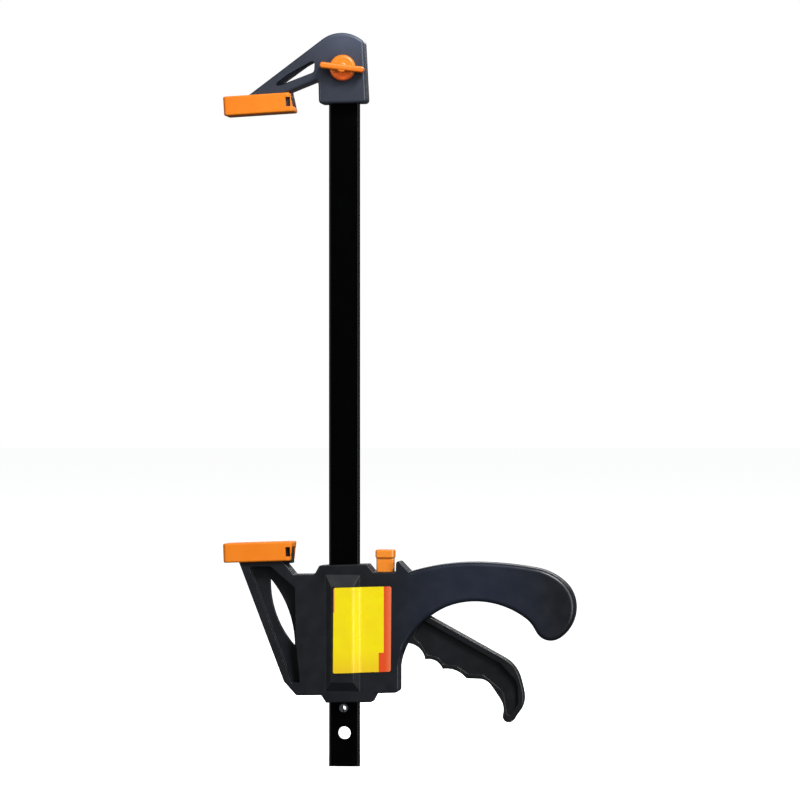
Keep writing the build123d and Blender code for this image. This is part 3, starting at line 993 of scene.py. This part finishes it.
@dataclass
class ShellScrews:
    """Cross-head screws in the rear shell's counterbores.

    Their places are X and Z in millimetres from the origin.
    """

    origin: Vector
    places: tuple[Place, ...] = (
        (-29.5, -42.0),
        (-29.5, -112.0),
        (36.0, -118.4),
        (86.0, -32.5),
        (163.0, -48.0),
    )
    facets: int = 48
    head_radius: float = 3.6 * MM
    head_height: float = 2.6 * MM
    head_base: float = 10.3 * MM
    head_round: float = 1.1 * MM
    round_segments: int = 6
    round_profile: float = 0.6
    shank_radius: float = 1.75 * MM
    shank_end: float = -8.0 * MM
    point_length: float = 2.0 * MM
    point_share: float = 0.25
    slot_height: float = 3.4 * MM
    slot_foot: float = 0.5 * MM
    slot_mouth: float = 0.62 * MM
    foot_stretch: float = 2.4
    mouth_stretch: float = 4.2

    @property
    def head_top(self) -> float:
        """How far behind Y 0 the head's crown stands."""
        return self.head_base + self.head_height

    def build(self, material: bpy.types.Material) -> None:
        """Models one screw and copies it to the other holes.

        Args:
            material: the screws' finish.
        """
        screw = self.blank()
        for turn in (0.0, math.pi / 2):
            self.cut_slot(screw, turn)
        Bench.done(screw, 35.0)
        dress(screw, material)
        first, *others = (self.origin + Vector((x * MM, 0.0, z * MM)) for x, z in self.places)
        screws = [screw]
        for n, place in enumerate(others, 2):
            screws.append(Bench.copy(screw, f"shell_screw_{n}", place))
        screw.data.transform(Matrix.Translation(first))
        for made in screws:
            add(made, "shell_screws")

    def blank(self) -> bpy.types.Object:
        """Turns the rounded head and the pointed shank.

        Returns:
            The screw without its recess, on the Y axis.
        """
        Bench.deselect()
        bpy.ops.mesh.primitive_cylinder_add(
            vertices=self.facets,
            radius=self.head_radius,
            depth=self.head_height,
            location=(0.0, self.head_base + self.head_height / 2, 0.0),
            rotation=(math.pi / 2, 0.0, 0.0),
        )
        screw = Bench.named("shell_screw_1")
        Bench.select_edges(screw, lambda v: v.y > self.head_top - TOUCH)
        bpy.ops.mesh.bevel(
            offset=self.head_round, segments=self.round_segments, profile=self.round_profile
        )
        Bench.select_faces(screw, lambda centre: centre.y < self.head_base + TOUCH)
        bpy.ops.mesh.inset(thickness=self.head_radius - self.shank_radius)
        for length in (self.head_base - self.shank_end, self.point_length):
            bpy.ops.mesh.extrude_region_move(TRANSFORM_OT_translate={"value": (0.0, -length, 0.0)})
        bpy.ops.transform.resize(value=(self.point_share, 1.0, self.point_share))
        bpy.ops.object.mode_set(mode="OBJECT")
        return screw

    def cut_slot(self, screw: bpy.types.Object, turn: float) -> None:
        """Cuts one of the two crossed slots, wider at its mouth.

        Args:
            screw: the screw.
            turn: how far the slot is turned about the screw, in radians.
        """
        Bench.deselect()
        bpy.ops.mesh.primitive_cone_add(
            vertices=4,
            radius1=self.slot_foot,
            radius2=self.slot_mouth,
            depth=self.slot_height,
            location=(0.0, self.head_top, 0.0),
            rotation=(-math.pi / 2, 0.0, 0.0),
        )
        cutter = Bench.named("recess_cutter")
        for vertex in cutter.data.vertices:
            vertex.co.x *= self.mouth_stretch if vertex.co.y > self.head_top else self.foot_stretch
        cutter.data.transform(Matrix.Rotation(turn + math.pi / 4, 4, "Y"))
        Bench.modifier(screw, Shaping.CUT, object=cutter, operation="DIFFERENCE", solver="EXACT")
        bpy.data.objects.remove(cutter)


@dataclass(frozen=True)
class WireSpring:
    """A round-wire compression spring with ground ends, standing where its solid stands."""

    node: str
    wire: float
    turns: int
    joint: str
    travel: float
    facets: int = 14
    steps_per_turn: int = 40

    def build(self, material: bpy.types.Material) -> None:
        """Winds the spring between its solid's ends.

        Args:
            material: the wire's finish.
        """
        low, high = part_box(self.node)
        centre, height = (low + high) / 2, high.z - low.z
        radius = (high.x - low.x) / 2 - self.wire / 2
        pitch, wound = height / self.turns, self.turns + 1
        Bench.deselect()
        bpy.ops.mesh.primitive_circle_add(
            vertices=self.facets,
            radius=self.wire / 2,
            location=(radius, 0.0, 0.0),
            rotation=(math.pi / 2, 0.0, 0.0),
        )
        spring = Bench.named(f"{self.node}_wire")
        Bench.modifier(
            spring,
            Shaping.WIND,
            axis="Z",
            angle=math.tau * wound,
            screw_offset=pitch * wound,
            steps=self.steps_per_turn * wound,
            render_steps=self.steps_per_turn * wound,
            use_merge_vertices=True,
        )
        spring.data.transform(Matrix.Translation((centre.x, centre.y, low.z - pitch / 2)))
        for level, outwards in ((low.z, -1.0), (high.z, 1.0)):
            self.grind(spring, Vector((centre.x, centre.y, level)), outwards)
        Bench.done(spring, 40.0)
        dress(spring, material)
        add(spring, self.node)
        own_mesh(spring)

    def grind(self, spring: bpy.types.Object, level: Vector, outwards: float) -> None:
        """Cuts an end flat and closes it.

        Args:
            spring: the wound wire.
            level: a point on the end's plane.
            outwards: 1 for the upper end, -1 for the lower.
        """
        Bench.pick(spring)
        bpy.ops.object.mode_set(mode="EDIT")
        bpy.ops.mesh.select_all(action="SELECT")
        bpy.ops.mesh.bisect(
            plane_co=level, plane_no=(0.0, 0.0, outwards), use_fill=True, clear_outer=True
        )


# ---------------------------------------------------------------------------- sub-assemblies
@dataclass
class SubAssembly:
    """Some of the clamp's nodes, with the fine pieces that go on them."""

    shop: PaintShop

    def build(self) -> None:
        """Dresses the nodes and adds the fine pieces."""
        self.dress()
        self.detail()

    def dress(self) -> None:
        """Gives each node its finish."""

    def detail(self) -> None:
        """Models the fine pieces, where there are any."""


@dataclass
class BarAndFixedJaw(SubAssembly):
    """The bar with its stop pin, the fixed jaw with its pad, and the lock knob on its washer."""

    def dress(self) -> None:
        """Gives each node its finish."""
        self.shop.paint(BAR_LACQUER, "bar")
        self.shop.paint(FIXED_JAW_PLASTIC_PAINTED_LIT, "fixed_jaw")
        self.shop.paint(PAD_PLASTIC, "fixed_jaw_pad")
        self.shop.paint(KNOB_PLASTIC, "jaw_lock_knob")
        self.shop.paint(PIN_ZINC, "stop_pin", "knob_washer")


@dataclass
class MovingJaw(SubAssembly):
    """The housing of two shells with its pad, trigger, button, label and screws."""

    origin: Vector

    def dress(self) -> None:
        """Gives each node its finish."""
        self.shop.paint(HOUSING_PLASTIC, "front_shell", "rear_shell")
        self.shop.paint(PAD_PLASTIC, "moving_jaw_pad")
        self.shop.paint(TRIGGER_PLASTIC, "trigger")
        self.shop.paint(BUTTON_PLASTIC, "release_button")

    def detail(self) -> None:
        """Sticks the label on and drives the screws."""
        LabelPlate(self.origin).build(self.shop.nodes["front_shell"])
        ShellScrews(self.origin).build(self.shop.mix(SCREW_ZINC))


@dataclass
class Mechanism(SubAssembly):
    """The plates, pins, guides and springs inside the housing."""

    springs: tuple[WireSpring, ...] = (
        WireSpring("drive_spring", wire=1.4 * MM, turns=5, joint="drive_slide", travel=8.777 * MM),
        WireSpring("brake_spring", wire=0.9 * MM, turns=4, joint="button_press", travel=4.0 * MM),
    )

    def dress(self) -> None:
        """Gives each node its finish."""
        self.shop.paint(PIN_ZINC, "trigger_pin", "brake_anchor_pin", "spring_seat_washer")
        for kind in ("bar_guide", "drive_plate", "brake_plate"):
            self.shop.paint(PLATE_STEEL, f"{kind}_upper", f"{kind}_lower")

    def detail(self) -> None:
        """Winds the springs."""
        for spring in self.springs:
            spring.build(self.shop.mix(SPRING_STEEL))


# ---------------------------------------------------------------------------- studio
@dataclass(frozen=True)
class Softbox:
    """One large soft light, placed from the studio's centre and aimed there unless told otherwise."""

    name: str
    offset: Point
    size: tuple[float, float]
    watts: float
    aim: Point | None = None
    colour: Colour = (1.0, 1.0, 1.0)
    spread: float = 180.0

    def build(self, centre: Vector) -> None:
        """Adds the light, turned to its aim.

        Args:
            centre: the studio's centre.
        """
        lamp = bpy.data.lights.new(self.name, "AREA")
        lamp.shape = "RECTANGLE"
        lamp.size, lamp.size_y = self.size
        lamp.energy = self.watts
        lamp.color = self.colour
        lamp.spread = math.radians(self.spread)
        holder = bpy.data.objects.new(self.name, lamp)
        holder.location = centre + Vector(self.offset)
        way = Vector(self.aim or centre) - holder.location
        holder.rotation_mode = "QUATERNION"
        holder.rotation_quaternion = way.to_track_quat("-Z", "Y")
        bpy.context.scene.collection.objects.link(holder)


@dataclass
class Studio:
    """Pale floor, soft light and the camera, for an object whose lowest point is the foot."""

    foot: float
    centre: Point = (0.11436, 0.0, -0.2338)
    frame_width: float = 0.6539
    distance: float = 4.5
    sensor: float = 36.0
    yaw: float = math.radians(5.5)
    floor_radius: float = 30.0
    floor_gap: float = 0.2 * MM
    surround_light: float = 0.075
    softboxes: tuple[Softbox, ...] = (
        Softbox("key_light", (2.7, -4.1, 4.6), (1.9, 1.6), 452.0),
        Softbox("left_fill", (-2.6, -2.0, 0.3), (1.4, 2.0), 24.0),
        Softbox("right_fill", (2.4, -2.6, 0.1), (1.4, 2.0), 66.0),
        Softbox(
            "head_light",
            (-0.05, -0.62, 0.64),
            (0.3, 0.2),
            0.08,
            aim=(0.06, 0.0, 0.03),
            colour=(0.72, 0.85, 1.0),
            spread=44.0,
        ),
        Softbox("back_light", (0.3, 1.6, 1.0), (1.6, 1.0), 16.0),
    )

    def build(self) -> None:
        """Builds the whole studio."""
        self.floor()
        self.surround()
        for box in self.softboxes:
            box.build(Vector(self.centre))
        self.camera()
        settings = bpy.context.scene.view_settings
        settings.view_transform = "Standard"
        settings.look = "None"
        settings.exposure = 0.0

    def floor(self) -> None:
        """Lays a wide pale floor under the clamp, which lights nothing on it."""
        Bench.deselect()
        bpy.ops.mesh.primitive_circle_add(
            vertices=96,
            radius=self.floor_radius,
            fill_type="NGON",
            location=(self.centre[0], 0.0, self.foot - self.floor_gap),
        )
        sheet = Bench.named("studio_floor")
        g = Graph("pale_floor")
        g.feed("Base Color", g.mix(g.noise(0.8, 3.0), (0.93, 0.93, 0.93), (0.96, 0.96, 0.96)))
        g.set(Roughness=0.9, Specular_IOR_Level=0.1, Emission_Color=(1.0, 1.0, 1.0), Emission_Strength=0.9)
        dress(sheet, g.material)
        sheet.visible_glossy = False
        sheet.visible_diffuse = False
        sheet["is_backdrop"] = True

    def surround(self) -> None:
        """A white surround to the camera, much dimmer as light."""
        world = bpy.data.worlds.new("studio_surround")
        bpy.context.scene.world = world
        world.use_nodes = True
        tree = world.node_tree
        tree.nodes.clear()
        out = tree.nodes.new("ShaderNodeOutputWorld")
        pick = tree.nodes.new("ShaderNodeMixShader")
        path = tree.nodes.new("ShaderNodeLightPath")
        tree.links.new(path.outputs["Is Camera Ray"], pick.inputs[0])
        for into, colour, strength in (
            (pick.inputs[1], (0.93, 0.96, 1.0), self.surround_light),
            (pick.inputs[2], (1.0, 1.0, 1.0), 1.0),
        ):
            background = tree.nodes.new("ShaderNodeBackground")
            background.inputs["Color"].default_value = (*colour, 1.0)
            background.inputs["Strength"].default_value = strength
            tree.links.new(background.outputs[0], into)
        tree.links.new(pick.outputs[0], out.inputs["Surface"])

    def camera(self) -> None:
        """Sets the camera level with the clamp's middle, a little to the right of square."""
        data = bpy.data.cameras.new("studio_camera")
        data.sensor_width = self.sensor
        data.lens = self.sensor * self.distance / self.frame_width
        data.clip_start, data.clip_end = 0.05, 2 * self.floor_radius
        holder = bpy.data.objects.new("studio_camera", data)
        holder.location = (
            self.centre[0] + self.distance * math.sin(self.yaw),
            -self.distance * math.cos(self.yaw),
            self.centre[2],
        )
        holder.rotation_euler = (math.pi / 2, 0.0, self.yaw)
        bpy.context.scene.collection.objects.link(holder)
        bpy.context.scene.camera = holder


# ---------------------------------------------------------------------------- the whole clamp
def jaw_origin(record: dict) -> Vector:
    """The point that the housing's fine pieces are placed from.

    Args:
        record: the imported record.

    Returns:
        The middle of the bar, level with the moving jaw's face at rest.
    """
    low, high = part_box("bar")
    face = next(mount for mount in record["mounts"] if mount["name"] == "moving_jaw_face")
    return Vector(((low.x + high.x) / 2, 0.0, face["pos_m"][2]))


def main() -> None:
    """Builds the dressed clamp and its studio."""
    logging.basicConfig(level=logging.INFO, format="%(name)s: %(message)s")
    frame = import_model()
    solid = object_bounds()
    shop = PaintShop(frame["nodes"])
    BarAndFixedJaw(shop).build()
    MovingJaw(shop, jaw_origin(frame["record"])).build()
    Mechanism(shop).build()
    Studio(foot=solid[0].z).build()


if __name__ == "__main__":
    main()
